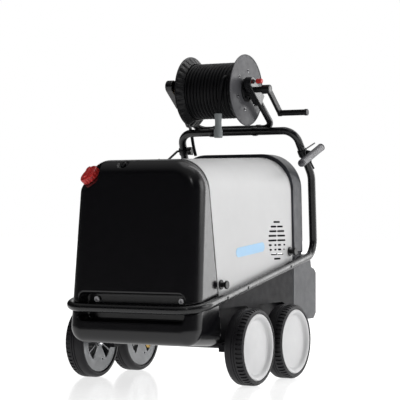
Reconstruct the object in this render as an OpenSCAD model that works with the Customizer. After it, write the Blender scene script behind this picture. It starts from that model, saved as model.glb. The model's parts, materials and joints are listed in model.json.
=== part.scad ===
// Mobile hot-water high-pressure cleaner with a hose reel.
// Origin: on the floor, at the centre of the footprint. +X right, +Y rear (handle end), +Z up.

/* [Wheels] */
// Outside diameter of each tyre
tyre_d = 300; // [280:1:305]
// Width of each tyre
tyre_w = 81; // [70:1:84]
// Distance between the outer faces of the left and right tyres
track_w = 806; // [800:1:830]
// Distance between the front and rear axles
wheelbase = 336; // [320:1:350]
// Diameter of the axle bars
axle_d = 20; // [16:1:25]

/* [Frame] */
// Outside diameter of the frame tube
tube_d = 33; // [30:0.5:33]
// Wall thickness of the frame tube
tube_wall = 2.5; // [2:0.5:4]
// Distance between the centre lines of the side rails
rail_span = 608; // [608:1:620]
// Upward slope of the side rails towards the rear, in degrees
rail_tilt = 10.5; // [9:0.5:12]
// Height of the bumper's centre line above the floor
bumper_z = 304; // [300:1:310]

/* [Body] */
// Half width of the body at the height of the rails
body_half = 285.5; // [280:0.5:285.5]
// Height of the hood at its rear edge
hood_top = 908; // [900:1:912]
// Height of the front tank at its front edge
tank_top = 879; // [870:1:882]
// Wall thickness of the moulded covers
cover_wall = 4; // [3:0.5:5]
// Diameter of the ventilation grille in the right side
grille_d = 166; // [140:1:170]
// Number of slot rows in the grille
grille_rows = 9; // [7:1:9]

/* [Hose reel] */
// Diameter of the reel flanges
flange_d = 300; // [280:1:310]
// Distance between the inner faces of the flanges
drum_w = 256; // [240:1:256]
// Diameter of the drum that the hose is wound on
drum_d = 172; // [160:1:172]
// Outside diameter of the hose
hose_d = 16; // [14:1:16]
// Height of the reel's axle above the floor
reel_z = 1188; // [1185:1:1200]
// Length of the crank arm between its two axes
crank_len = 146; // [130:1:150]

/* [Hidden] */
$fn = 48;

gap = 0.6;                       // clearance between neighbouring pieces
run = 0.05;                      // radial clearance of a running fit
wheel_x = track_w / 2 - tyre_w / 2;
axle_z = tyre_d / 2;
axle_y = [-56 - wheelbase / 2, -56 + wheelbase / 2];
bumper_y = -543;                 // centre line of the bumper's front run
rail_x = rail_span / 2;
joint_y = -346;                  // butt joint between bumper and push bow
leg_foot_y = 493;
knee = [472, 832];               // y and z where the legs start to lean forward
bar = [362, 1022];               // y and z of the handle bar
bar_corner_x = 276;
seam_lean = -0.14;               // the joint between tank and hood leans forward going up
hood_rear_y = 324;
console_rear_y = 424;
console_z = 505;                 // lower edge of the console's side walls
box_half = 286.5;                // half width of the rear box
floor_z = 160;                   // underside of the chassis
arch_top = 303;                  // top of the openings over the wheels
arch_half = 152;                 // half length of those openings
housing_x = 250;                 // inner wall of the wheel housings
cap_axis = [-0.39, -0.63, 0.67]; // the fuel filler's direction
cap_seat = [-235, -427, 813];    // centre of the filler on the tank's chamfer
cap_d = 84;
seat_d = 150;                    // flat that the filler stands on
neck_d = [62, 50];               // outside and inside of the filler neck
pocket_x = 236;                  // half width of the pocket behind the bumper
top_cap_axis = [0, -0.63, 0.77];
top_cap_seat = [-75, -458, 866.5];
reel_y = 200;
stand_run = [394, 1037];         // y and z of the reel stand's lower run
stand_x = [-212, 160];           // the reel stand's left and right legs
stand_d = 28;
plate_t = 4;
spindle_d = 25;
flange_t = 4;
flange_face = drum_w / 2 + flange_t;
wound_d = drum_d + 4 * hose_d;
lock_pos = [185, 1222];          // y and z of the reel lock pin
crank_x = 226;
crank_dir = [0.77, -0.64];
grip_pos = [reel_y + crank_dir[0] * crank_len, reel_z + crank_dir[1] * crank_len];
grip_len = 114;
holder_x = 330;
holder_low = [320, 882];
holder_high = [515, 955];
tail_x = 64;

black_gloss = [0.08, 0.08, 0.085];
black_matt = [0.13, 0.13, 0.135];
dark_grey = [0.2, 0.2, 0.21];
silver = [0.78, 0.78, 0.79];
steel = [0.7, 0.7, 0.72];
red = [0.75, 0.08, 0.07];
brass = [0.8, 0.62, 0.25];

function unit(v) = v / norm(v);
function rail_z(y) = bumper_z + tan(rail_tilt) * (y - bumper_y);
function half_at(z) = body_half - 0.0205 * (z - 400);
function front_at(z) = -522 + 0.0948 * (z - 357);
function seam_at(z) = -342.6 + seam_lean * (z - 372);

// Place children so that their +Z runs from a to b
module along(a, b) {
    v = b - a;
    translate(a) rotate([0, acos(v[2] / norm(v)), atan2(v[1], v[0])]) children();
}

module rod(a, b, d) along(a, b) cylinder(d = d, h = norm(b - a));

module pipe(h, od, id) linear_extrude(h) difference() {
    circle(d = od);
    circle(d = id);
}

// Tube along the corner points p, bent at each inner corner to the radius r[i]
module bent_tube(p, r, od, id) {
    n = len(p);
    u = [for (i = [0:n - 2]) unit(p[i + 1] - p[i])];
    turn = [for (i = [1:n - 2]) acos(u[i - 1] * u[i])];
    t = [for (i = [0:n - 1]) i == 0 || i == n - 1 ? 0 : r[i - 1] * tan(turn[i - 1] / 2)];
    lap = 1;                     // the straight lengths run this far into the bends
    for (i = [0:n - 2]) {
        a = p[i] + u[i] * (i == 0 ? 0 : t[i] - lap);
        b = p[i + 1] - u[i] * (i == n - 2 ? 0 : t[i + 1] - lap);
        along(a, b) pipe(norm(b - a), od, id);
    }
    for (i = [1:n - 2]) {
        c = p[i] + unit(u[i] - u[i - 1]) * r[i - 1] / cos(turn[i - 1] / 2);
        ex = unit(p[i] - u[i - 1] * t[i] - c);
        ez = unit(cross(u[i - 1], u[i]));
        ey = cross(ez, ex);
        s = sign((p[i] + u[i] * t[i] - c) * ey);
        multmatrix([
            [ex[0], ey[0], ez[0], c[0]],
            [ex[1], ey[1], ez[1], c[1]],
            [ex[2], ey[2], ez[2], c[2]],
            [0, 0, 0, 1]
        ]) rotate_extrude(angle = s * turn[i - 1]) translate([r[i - 1], 0]) difference() {
            circle(d = od - 0.04);
            circle(d = id + 0.04);
        }
    }
}

// Mirror a piece to the left and right
module both_sides() {
    children();
    mirror([1, 0, 0]) children();
}

// Extrude a Y-Z outline along X from x0 to x1
module side_extrude(x0, x1) translate([x0, 0, 0]) rotate([90, 0, 90]) linear_extrude(x1 - x0) children();

// A cylinder along +X
module x_cyl(x0, x1, y, z, d) translate([x0, y, z]) rotate([0, 90, 0]) cylinder(d = d, h = x1 - x0);

// ---------- frame ----------

module bumper_tube() {
    corners = [
        [rail_x, joint_y, rail_z(joint_y)], [rail_x, bumper_y, bumper_z],
        [-rail_x, bumper_y, bumper_z], [-rail_x, joint_y, rail_z(joint_y)]
    ];
    color(black_gloss) bent_tube(corners, [100, 100], tube_d, tube_d - 2 * tube_wall);
}

module push_bow() {
    foot = [rail_x, leg_foot_y, rail_z(leg_foot_y)];
    half = [[rail_x, joint_y + 0.8, rail_z(joint_y + 0.8)], foot, [rail_x, knee[0], knee[1]],
        [bar_corner_x, bar[0], bar[1]]];
    mirrored = [for (i = [3:-1:0]) [-half[i][0], half[i][1], half[i][2]]];
    color(black_gloss) bent_tube(concat(half, mirrored), [70, 90, 62, 62, 90, 70], tube_d, tube_d - 2 * tube_wall);
}

module rail_screws() {
    color(black_matt) both_sides() for (y = [joint_y + 22, -150, 240])
        x_cyl(body_half - 8, rail_x + tube_d / 2 + 3, y, rail_z(y), 8);
}

// ---------- chassis ----------

module chassis_side_outline() {
    difference() {
        polygon([
            [seam_at(floor_z) + 2, floor_z], [seam_at(rail_z(-345)) + 2, rail_z(-345) + 5],
            [hood_rear_y + 4, rail_z(hood_rear_y + 4) + 5], [hood_rear_y + 4, 250], [hood_rear_y - 30, floor_z]
        ]);
        for (y = axle_y) translate([y, 0]) {
            translate([-arch_half, 0]) square([2 * arch_half, arch_top - 45]);
            translate([45 - arch_half, 0]) square([2 * arch_half - 90, arch_top]);
            for (s = [-1, 1]) translate([s * (arch_half - 45), arch_top - 45]) circle(r = 45);
        }
    }
}

module chassis_shell() {
    wall = 4;
    color(dark_grey) difference() {
        union() {
            both_sides() side_extrude(body_half - wall, body_half) chassis_side_outline();
            translate([-body_half + wall - 1, seam_at(floor_z) + 4, floor_z])
                cube([2 * body_half - 2 * wall + 2, hood_rear_y - 30 - seam_at(floor_z) - 4, 6]);
            both_sides() for (y = axle_y) translate([body_half - 45, y - 30, floor_z - 32]) cube([30, 60, 34]);
            translate([-body_half + 2, -60, floor_z]) cube([2 * body_half - 4, 8, 70]);
            both_sides() translate([housing_x, seam_at(floor_z) + 6, floor_z + 2])
                cube([wall, hood_rear_y - 36 - seam_at(floor_z), arch_top + wall - floor_z - 2]);
            both_sides() translate([housing_x + 1, seam_at(floor_z) + 6, arch_top])
                cube([body_half - wall - housing_x, hood_rear_y - 36 - seam_at(floor_z), wall]);
        }
        for (y = axle_y) x_cyl(-300, 300, y, axle_z, axle_d);
    }
}

module axle(y) color(steel) x_cyl(-wheel_x - 26, wheel_x + 26, y, axle_z, axle_d);

module axle_clips() {
    color(steel) both_sides() for (y = axle_y) {
        difference() {
            x_cyl(wheel_x + 22.6, wheel_x + 24.6, y, axle_z, 32);
            x_cyl(wheel_x + 20, wheel_x + 28, y, axle_z, axle_d);
        }
        difference() {
            x_cyl(wheel_x - 42.6, wheel_x - 40.6, y, axle_z, 32);
            x_cyl(wheel_x - 44, wheel_x - 38, y, axle_z, axle_d);
        }
    }
}

// ---------- wheels ----------

// Put a wheel made about +Z, outer face up, on the axle end; side is 1 right or -1 left
module on_axle(side, y) translate([side * wheel_x, y, axle_z]) rotate([0, side * 90, 0]) children();

module tyre(side, y) {
    r = tyre_d / 2;
    h = tyre_w / 2;
    color(black_matt) on_axle(side, y) rotate_extrude() polygon([
        [126.2, -h + 5], [131, -h], [r - 12, -h + 1], [r - 5, -h + 4], [r - 1, -h + 11], [r, -h + 18],
        [r, -8], [r - 2, -6.5], [r - 2, -3.5], [r, -2], [r, 2], [r - 2, 3.5], [r - 2, 6.5], [r, 8],
        [r, h - 18], [r - 1, h - 11], [r - 5, h - 4], [r - 12, h - 1], [131.4, h], [131.4, h - 9], [126.2, h - 9]
    ]);
}

module rim(side, y) {
    h = tyre_w / 2;
    color([0.6, 0.61, 0.62]) on_axle(side, y) difference() {
        rotate_extrude() polygon([
            [axle_d / 2 + run, -40], [24, -40], [24, -h + 8], [126, -h + 5], [126, h - 9], [121, h - 9],
            [121, -h + 12], [24, -h + 14], [24, 22], [axle_d / 2 + run, 22]
        ]);
        for (a = [0:120:240]) {
            for (s = [-1, 1]) rotate(a + s * 14.5) linear_extrude(80, center = true) polygon(concat(
                [for (t = [-12.5:5:12.5]) 88 * [cos(t), sin(t)]], [for (t = [12.5:-5:-12.5]) 30 * [cos(t), sin(t)]]
            ));
            rotate(a + 43) translate([81, 0, -40]) cylinder(d = 8, h = 30);
        }
    }
}

module hub_cap(side, y) {
    h = tyre_w / 2;
    color([0.88, 0.88, 0.87]) on_axle(side, y) rotate_extrude() polygon([
        [0, h - 10], [20, h - 10.2], [60, h - 12], [100, h - 15], [107, h - 14], [112, h - 6.5], [119, h - 1.6],
        [127, h - 1], [131, h - 4], [131, h - 8.4], [120, h - 8.4], [108, h - 17.6], [60, h - 15], [20, h - 13.2],
        [0, h - 13]
    ]);
}

// ---------- front tank ----------

// Flat arch across the body: half width follows half_at, corner radius r, from z0 up to top
module arch(z0, top, r, inset) {
    foot = half_at(z0) - inset;
    side = half_at(top - r) - inset;
    polygon(concat(
        [[-foot, z0], [foot, z0]],
        [for (a = [0:10:90]) [side - r + r * cos(a), top - r + r * sin(a)]],
        [for (a = [90:10:180]) [-side + r + r * cos(a), top - r + r * sin(a)]]
    ));
}

module arch_slab(y, z0, top, r, inset) translate([0, y + 1, 0]) rotate([90, 0, 0]) linear_extrude(1)
    arch(z0, top, r, inset);

// Solid rounded front body, shrunk on all sides by inset
module tank_form(inset, low_r, lean_r) hull() {
    both_sides() {
        translate([half_at(219) - low_r - inset, front_at(219) + low_r + inset, 165 + low_r + inset])
            sphere(r = low_r, $fn = 28);
        translate([half_at(741) - 120 - inset, front_at(816) + lean_r + inset, tank_top - 120 - inset])
            rotate([90, 0, 0]) rotate_extrude($fn = 32) translate([120 - lean_r, 0]) circle(r = lean_r, $fn = 28);
    }
    arch_slab(-300, 153 + inset, tank_top + 5 - inset, 120, inset);
}

// Everything behind the leaning joint, moved by dy along Y
module behind_seam(dy) translate([0, seam_at(372) + dy, 372]) rotate([-atan(seam_lean), 0, 0])
    translate([-400, 0, -700]) cube([800, 900, 1400]);

// Square-cut room of the width w round the bumper tube
module tube_groove(w) translate([0, bumper_y, bumper_z]) rotate([rail_tilt, 0, 0]) translate([0, 0, -w / 2])
    linear_extrude(w) difference() {
        translate([-400, -200]) square([800, 500]);
        translate([-rail_x + w / 2, 100]) square([2 * rail_x - w, 400]);
        translate([-rail_x + 100, w / 2]) square([2 * rail_x - 200, 200]);
        for (x = [-rail_x + 100, rail_x - 100]) translate([x, 100]) circle(r = 100 - w / 2);
    }

module fuel_tank() {
    color(black_gloss) difference() {
        union() {
            difference() {
                tank_form(0, 66, 55);
                behind_seam(-1);
                along(cap_seat, cap_seat + cap_axis) cylinder(d = seat_d, h = 120);
            }
            difference() {
                along(cap_seat - 8 * cap_axis, cap_seat) cylinder(d = neck_d[0], h = 22);
                behind_seam(-1);
            }
        }
        difference() {
            tank_form(6, 90, 50);
            behind_seam(-7);
            along(cap_seat - 6 * cap_axis, cap_seat) cylinder(d = seat_d + 12, h = 120);
            translate([-pocket_x - 9, -600, 244]) cube([2 * pocket_x + 18, 154, 126]);
            along(top_cap_seat - 20 * top_cap_axis, top_cap_seat) cylinder(d = 52, h = 40);
        }
        translate([-pocket_x + 23, -600, 253]) cube([2 * pocket_x - 46, 145, 108]);
        both_sides() for (z = [276, 338])
            translate([pocket_x - 23, -455, z]) rotate([90, 0, 0]) cylinder(r = 23, h = 145);
        translate([-pocket_x, -600, 276]) cube([2 * pocket_x, 145, 62]);
        tube_groove(tube_d + 5);
        along(cap_seat - 20 * cap_axis, cap_seat) cylinder(d = neck_d[1], h = 60);
        along(top_cap_seat - 9 * top_cap_axis, top_cap_seat) cylinder(d = 42, h = 40);
        rod([-62, -456.5, 872.9], [-15, -426.6, 882.9], 12);
        along(top_cap_seat - 30 * top_cap_axis, top_cap_seat) cylinder(d = 12 + 2 * run, h = 40);
    }
}

module fuel_cap() {
    color(red) along(cap_seat, cap_seat + cap_axis) {
        difference() {
            union() {
                translate([0, 0, 1]) cylinder(d = cap_d, h = 22);
                translate([0, 0, 23]) cylinder(d1 = cap_d, d2 = cap_d - 8, h = 4);
                translate([-11, -30, 26]) cube([22, 60, 9]);
            }
            translate([0, 0, -1]) cylinder(d = neck_d[0] + 2, h = 17);
            for (a = [0:20:340]) rotate(a) translate([cap_d / 2 + 1, 0, 0]) cylinder(d = 5, h = 23);
        }
        translate([0, 0, -10]) cylinder(d = neck_d[1] - 2 * run, h = 27);
    }
}

module tank_top_cap() {
    color(black_matt) along(top_cap_seat - 9 * top_cap_axis, top_cap_seat) {
        translate([0, 0, 0.4]) cylinder(d = 25, h = 9);
        translate([-2, -10, 9]) cube([4, 20, 4]);
        translate([0, 0, -18]) cylinder(d = 12, h = 19);
    }
}

module tank_bolts() {
    color(steel) both_sides() translate([190.6, -455, 334]) rotate([90, 0, 0]) {
        difference() {
            cylinder(d = 24, h = 10);
            translate([0, 0, 4]) cylinder(d = 10, h = 10, $fn = 6);
        }
        translate([0, 0, -6]) cylinder(d = 12, h = 8);
    }
    color(steel) translate([104, -335, 151]) cylinder(d = 14, h = 6);
}

module drain_plug() {
    color(brass) translate([-5, -380, 150.5]) {
        cylinder(d = 18, h = 10);
        translate([0, 0, -5]) cylinder(d = 14, h = 6, $fn = 6);
    }
}

// ---------- hood ----------

module hood_form(inset) hull() {
    arch_slab(-440, 300, tank_top + 1 - inset, 120, inset);
    arch_slab(hood_rear_y - 1, 300, hood_top - inset, 150, inset);
}

module grille_slots() {
    pitch = 19;
    for (i = [0:grille_rows - 1]) {
        z = (i - (grille_rows - 1) / 2) * pitch;
        half = sqrt(pow(grille_d / 2, 2) - pow(z, 2)) - 4;
        cuts = i == 0 || i == grille_rows - 1 ? [[-half, half]]
            : i == 2 || i == 3 ? [[-half, -50], [-25, -6], [8, 37], [60, half]]
            : [[-half, -4], [4, half]];
        for (c = cuts) translate([255, 180 + c[0], 559 + z - 3.5]) cube([40, c[1] - c[0], 7]);
    }
}

module hood() {
    color(silver) difference() {
        hood_form(0);
        hood_form(2.5);
        translate([0, seam_at(372) + 1, 372]) rotate([-atan(seam_lean), 0, 0])
            translate([-400, -900, -700]) cube([800, 900, 1400]);
        hull() for (z = [-84, 0]) translate([0, 0, z])
            along(cap_seat - 3 * cap_axis, cap_seat) cylinder(d = cap_d + 5, h = 80);
        translate([-400, bumper_y, bumper_z + 6]) rotate([rail_tilt, 0, 0])
            translate([0, -200, -300]) cube([800, 1400, 300]);
        grille_slots();
        both_sides() for (k = hood_knob_at) x_cyl(250, 300, k[0], k[1], 8 + 2 * run);
    }
}

hood_knob_at = [[-322, 395], [298, 511]];

module hood_knob(side, k) {
    x0 = half_at(k[1]) + gap;
    color(black_matt) mirror([side < 0 ? 1 : 0, 0, 0]) {
        x_cyl(x0, x0 + 5, k[0], k[1], 38);
        x_cyl(x0 + 4, x0 + 22, k[0], k[1], 20);
        x_cyl(x0 + 21, x0 + 30, k[0], k[1], 33);
        x_cyl(x0 - 14, x0 + 1, k[0], k[1], 8);
    }
}

// ---------- console and rear box ----------

module console_form(y0, y1, inset, z0) hull() {
    arch_slab(y0, z0, 923 - inset, 150, inset - 8);
    arch_slab(y1 - 22, z0, 924 - inset, 150, inset - 8);
    arch_slab(y1 - 1, z0, 906 - inset, 130, inset + 10);
}

// Skirt that closes the room between the console and the rear box
module console_skirt() {
    low = console_z - 9.7;
    both_sides() side_extrude(277, 283) polygon([
        [hood_rear_y + 2, console_z + 2], [hood_rear_y + 2, 472], [hood_rear_y + 5, 470.3],
        [hood_rear_y + 45, low], [415, low], [415, console_z + 2]
    ]);
    translate([-283, 410, low]) cube([566, 5, 11.7]);
}

module rear_console() {
    color(black_matt) console_skirt();
    color(black_matt) difference() {
        console_form(hood_rear_y + 1, console_rear_y, 0, console_z);
        difference() {
            console_form(hood_rear_y - 10, console_rear_y - 5, 5, console_z - 10);
            translate([-400, 200, 400]) cube([800, 400, 109]);
        }
        translate([-262, hood_rear_y - 20, console_z - 10]) cube([524, 90, 40]);
    }
}

module control_panel() {
    color(dark_grey) difference() {
        translate([-185, console_rear_y + 0.2, 640]) cube([370, 4, 190]);
        translate([-90, 500, 765]) rotate([90, 0, 0]) cylinder(d = 10 + 2 * run, h = 200);
        translate([0, 500, 765]) rotate([90, 0, 0]) cylinder(d = 10 + 2 * run, h = 200);
    }
}

// A turn knob on the panel with a pointer rib, its stem running through the panel
module panel_knob(x, z, d, tone) {
    color(tone) translate([x, console_rear_y + 5, z]) rotate([-90, 0, 0]) {
        cylinder(d = d, h = 14);
        translate([-3, -d / 2, 13]) cube([6, d, 8]);
        translate([0, 0, -4.4]) cylinder(d = 10, h = 5);
    }
}

module pressure_gauge() {
    color(steel) translate([100, console_rear_y + 4.2, 765]) rotate([-90, 0, 0]) difference() {
        cylinder(d = 63, h = 14);
        translate([0, 0, 5]) cylinder(d = 57, h = 12);
        translate([0, 0, 2]) cylinder(d = 3 + 2 * run, h = 8);
    }
}

module gauge_needle() {
    color(red) translate([100, console_rear_y + 4.2, 765]) rotate([-90, 0, 0]) {
        translate([0, 0, 2.5]) cylinder(d = 3, h = 6.5);
        translate([0, 0, 6.5]) cylinder(d = 8, h = 2);
        rotate(-45) translate([-1, -4, 7]) cube([2, 26, 1.2]);
    }
}

module rear_box() {
    y0 = hood_rear_y + 5;
    color(dark_grey) difference() {
        side_extrude(-box_half, box_half) polygon([
            [y0, 262], [y0, 470], [y0 + 40, console_z - 10], [498, console_z - 10], [512, 440], [540, 432],
            [559.5, 415], [559.5, 240], [536, 217], [372, 217]
        ]);
        side_extrude(-box_half + cover_wall, box_half - cover_wall) polygon([
            [y0 + 5, 266], [y0 + 5, 466], [y0 + 42, console_z - 14], [494, console_z - 14], [508, 436],
            [538, 427], [555.5, 412], [555.5, 242], [534, 221], [374, 221]
        ]);
        x_cyl(-300, -270, 470, 330, 30);
        x_cyl(-300, -270, 420, 285, 20);
    }
}

module water_inlet() {
    color(brass) difference() {
        union() {
            x_cyl(-box_half - 14, -box_half, 470, 330, 38);
            x_cyl(-box_half - 36, -box_half - 13, 470, 330, 26);
            x_cyl(-box_half - 1, -box_half + 20, 470, 330, 30);
        }
        x_cyl(-box_half - 40, -box_half + 30, 470, 330, 15);
    }
}

module cable_gland() {
    color(black_matt) difference() {
        union() {
            x_cyl(-box_half - 16, -box_half, 420, 285, 28);
            x_cyl(-box_half - 1, -box_half + 14, 420, 285, 20);
        }
        x_cyl(-box_half - 20, -box_half + 20, 420, 285, 12);
    }
}

// ---------- inner machinery ----------

module electric_motor() {
    color([0.35, 0.42, 0.5]) {
        x_cyl(-120, 140, -180, 285, 180);
        x_cyl(139, 165, -180, 285, 140);
        for (x = [-90, 80]) translate([x, -230, floor_z + 6]) cube([30, 100, 60]);
    }
}

module pressure_pump() {
    color(brass) {
        translate([-245, -240, 225]) cube([100, 120, 120]);
        x_cyl(-146, -120.5, -180, 285, 110);
        translate([-215, -180, 166]) cylinder(d = 40, h = 60);
    }
}

module boiler() color(steel) difference() {
    translate([0, 130, floor_z + 6]) cylinder(d = 340, h = 470);
    translate([0, 130, floor_z + 10]) cylinder(d = 330, h = 462);
}

module burner_blower() {
    color([0.3, 0.3, 0.32]) {
        translate([0, 130, floor_z + 476.2]) cylinder(d = 150, h = 60);
        translate([60, 130, floor_z + 586]) rotate([0, 90, 0]) cylinder(d = 180, h = 90);
        translate([-20, 70, floor_z + 530]) cube([90, 120, 110]);
    }
}

module float_tank() color([0.85, 0.86, 0.84]) difference() {
    translate([-190, -290, 375.2]) cube([150, 130, 234.8]);
    translate([-186, -286, 379.2]) cube([142, 122, 234.8]);
}

// ---------- holders on the bow ----------

// Centre of a leg of the bow at height z, and the leg's direction there
function leg_at(side, z) = let (t = (z - knee[1]) / (bar[1] - knee[1]))
    [side * (rail_x + t * (bar_corner_x - rail_x)), knee[0] + t * (bar[0] - knee[0]), z];
function leg_way(side) = unit([side * (bar_corner_x - rail_x), bar[0] - knee[0], bar[1] - knee[1]]);

module leg_clamp(side, z) {
    c = leg_at(side, z);
    d = leg_way(side);
    along(c - 14 * d, c + 14 * d) pipe(28, tube_d + 9, tube_d + 0.1);
}

// The room that a leg of the bow takes near height z
module leg_room(side, z) along(leg_at(side, z) - 40 * leg_way(side), leg_at(side, z) + 40 * leg_way(side))
    cylinder(d = tube_d + 0.1, h = 80);

module lance_holder() {
    low = [holder_x, holder_low[0], holder_low[1]];
    high = [holder_x, holder_high[0], holder_high[1]];
    color(dark_grey) difference() {
        union() {
            leg_clamp(1, 929);
            rod(low, high, 33);
            translate(low) sphere(d = 34);
            along([309, 414, 929], [320, 424, 926]) cylinder(d = 24, h = 16);
            rod([328, 362, 908], [325, 360, 940], 6);
            translate([325, 360, 940]) sphere(d = 7.6);
            rod([325, 360, 940], [325, 459, 971], 6);
            rod([330, 405, 912], [330, 410, 886], 8);
            rod([330, 410, 887], [336, 427, 861], 8);
        }
        along(low, high) translate([0, 0, 10]) cylinder(d = 27, h = 400);
        leg_room(1, 929);
    }
}

module lance_rest() {
    color(black_matt) difference() {
        union() {
            leg_clamp(-1, 946);
            rod([-305, 406, 946], [-318, 400, 944], 12);
            rod([-318, 404, 946], [-318, 262, 876], 10);
            translate([-318, 262, 876]) sphere(d = 12);
            rod([-318, 262, 876], [-318, 240, 905], 10);
            x_cyl(-270, -262, 406, 946, 20);
        }
        leg_room(-1, 946);
    }
}

module star_knob() {
    color(black_matt) {
        x_cyl(-260, -244, 406, 946, 28);
        for (a = [0:60:300]) translate([0, 406 + 14 * cos(a), 946 + 14 * sin(a)]) x_cyl(-259, -245, 0, 0, 12);
    }
}

// ---------- hose reel ----------

module reel_stand() {
    leg = [reel_y, reel_z] + 40 * leg_dir();
    color(black_gloss) {
        bent_tube([
            [stand_x[0], leg[0], leg[1]], [stand_x[0], stand_run[0], stand_run[1]],
            [stand_x[1], stand_run[0], stand_run[1]], [stand_x[1], leg[0], leg[1]]
        ], [50, 50], stand_d, stand_d - 4);
        for (x = [-120, 90]) difference() {
            union() {
                x_cyl(x - 10, x + 10, bar[0], bar[1], tube_d + 8);
                x_cyl(x - 10, x + 10, stand_run[0], stand_run[1], stand_d + 6);
            }
            x_cyl(x - 20, x + 20, bar[0], bar[1], tube_d + 0.1);
            x_cyl(x - 20, x + 20, stand_run[0], stand_run[1], stand_d - 2);
        }
    }
}

function leg_dir() = unit([stand_run[0] - reel_y, stand_run[1] - reel_z]);

// Channel plate round the spindle, its open side facing the drum; x_out is the plate's outer face
module reel_bracket(x_out, x_in, lock) {
    d = leg_dir();
    ang = atan2(d[1], d[0]);
    s = sign(x_out);
    module outline(r) translate([reel_y, reel_z]) rotate(ang) union() {
        translate([-40, 0]) circle(r = r);
        translate([-40, -r]) square([112, 2 * r]);
    }
    color(black_gloss) difference() {
        side_extrude(min(x_out, x_in), max(x_out, x_in)) outline(27);
        side_extrude(min(x_out - s * plate_t, x_in - s), max(x_out - s * plate_t, x_in - s)) union() {
            outline(23);
            translate([reel_y, reel_z]) rotate(ang) translate([0, -23]) square([90, 46]);
        }
        x_cyl(-260, 260, reel_y, reel_z, spindle_d + 2 * run);
        if (lock) x_cyl(150, 200, lock_pos[0], lock_pos[1], 10 + 2 * run);
    }
}

module hose_swivel() {
    color(brass) difference() {
        union() {
            x_cyl(-220, flange_face * -1 - 14, reel_y, reel_z, 38);
            translate([-168, reel_y, reel_z - 48]) cylinder(d = 20, h = 40);
        }
        x_cyl(-205, -120, reel_y, reel_z, spindle_d + 2 * run);
        translate([-168, reel_y, reel_z - 49]) cylinder(d = 8, h = 20);
    }
}

module reel_drum() {
    color(black_matt) {
        difference() {
            x_cyl(-drum_w / 2, drum_w / 2, reel_y, reel_z, drum_d);
            x_cyl(-drum_w / 2 - 1, -4, reel_y, reel_z, drum_d - 6);
            x_cyl(4, drum_w / 2 + 1, reel_y, reel_z, drum_d - 6);
        }
        x_cyl(-200, crank_x + 16, reel_y, reel_z, spindle_d);
    }
}

module reel_flange(side) {
    color(side > 0 ? [0.45, 0.45, 0.46] : black_matt) mirror([side < 0 ? 1 : 0, 0, 0]) difference() {
        union() {
            x_cyl(drum_w / 2, flange_face - 1, reel_y, reel_z, flange_d - 6);
            translate([drum_w / 2 + 2, reel_y, reel_z]) rotate([0, 90, 0]) rotate_extrude()
                translate([flange_d / 2 - 3, 0]) circle(r = 3);
            x_cyl(flange_face - 2, flange_face + 6, reel_y, reel_z, 100);
            translate([drum_w / 2, reel_y, reel_z]) rotate([0, 90, 0]) rotate_extrude()
                polygon([[120.5, -26], [123.5, -26], [147, 1], [143, 1]]);
        }
        x_cyl(100, 160, reel_y, reel_z, spindle_d);
        for (a = [0:60:300]) rotate_about_reel(a) x_cyl(100, 160, lock_pos[0], lock_pos[1], 11);
    }
}

module rotate_about_reel(a) translate([0, reel_y, reel_z]) rotate([a, 0, 0]) translate([0, -reel_y, -reel_z])
    children();

module hose_winding() {
    color([0.06, 0.06, 0.065]) translate([0, reel_y, reel_z]) rotate([0, 90, 0])
        rotate_extrude() translate([drum_d / 2, -drum_w / 2 + 1]) square([wound_d / 2 - drum_d / 2, drum_w - 2]);
}

module crank_arm() {
    hub = [crank_x, reel_y, reel_z];
    end = [crank_x, grip_pos[0], grip_pos[1]];
    color(black_matt) difference() {
        union() {
            x_cyl(crank_x - 20, crank_x + 16, reel_y, reel_z, 38);
            x_cyl(crank_x, crank_x + 14, grip_pos[0], grip_pos[1], 28);
            along(hub, end) translate([-14, -12, 0]) cube([14, 24, crank_len]);
            x_cyl(crank_x + 13, crank_x + 14 + grip_len, grip_pos[0], grip_pos[1], 10);
        }
        x_cyl(crank_x - 30, crank_x + 30, reel_y, reel_z, spindle_d);
    }
}

module crank_grip() {
    x0 = crank_x + 14 + gap;
    color(black_matt) difference() {
        union() {
            x_cyl(x0, x0 + grip_len - 6, grip_pos[0], grip_pos[1], 25);
            x_cyl(x0 + grip_len - 7, x0 + grip_len + 6, grip_pos[0], grip_pos[1], 28);
        }
        x_cyl(x0 - 1, x0 + grip_len, grip_pos[0], grip_pos[1], 10 + 2 * run);
    }
}

module reel_lock_pin() {
    color(red) {
        x_cyl(flange_face + 7, 187, lock_pos[0], lock_pos[1], 10);
        x_cyl(186, 211, lock_pos[0], lock_pos[1], 21);
    }
}

// ---------- hoses ----------

// Round tube swept along the points p, with 8 sides
module swept_hose(p, d) {
    n = len(p);
    dir = [for (i = [0:n - 1]) unit(p[min(i + 1, n - 1)] - p[max(i - 1, 0)])];
    side = [for (v = dir) unit(cross(v, [0.36, 0.93, 0.1]))];
    up = [for (i = [0:n - 1]) cross(side[i], dir[i])];
    pts = [for (i = [0:n - 1]) for (k = [0:7])
        p[i] + d / 2 * (cos(45 * k) * side[i] + sin(45 * k) * up[i])];
    quads = [for (i = [0:n - 2]) for (k = [0:7])
        [8 * i + k, 8 * i + (k + 1) % 8, 8 * (i + 1) + (k + 1) % 8, 8 * (i + 1) + k]];
    faces = concat([[for (k = [7:-1:0]) k]], quads, [[for (k = [0:7]) 8 * (n - 1) + k]]);
    polyhedron(pts, faces);
}

// Smooth curve through the points p (Catmull-Rom), m steps a stretch
function smooth(p, m) = concat([for (i = [0:len(p) - 2]) for (k = [0:m - 1])
    let (t = k / m, a = p[max(i - 1, 0)], b = p[i], c = p[i + 1], e = p[min(i + 2, len(p) - 1)])
    0.5 * (2 * b + (c - a) * t + (2 * a - 5 * b + 4 * c - e) * t * t + (3 * b - a - 3 * c + e) * t * t * t)],
    [p[len(p) - 1]]);

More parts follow.
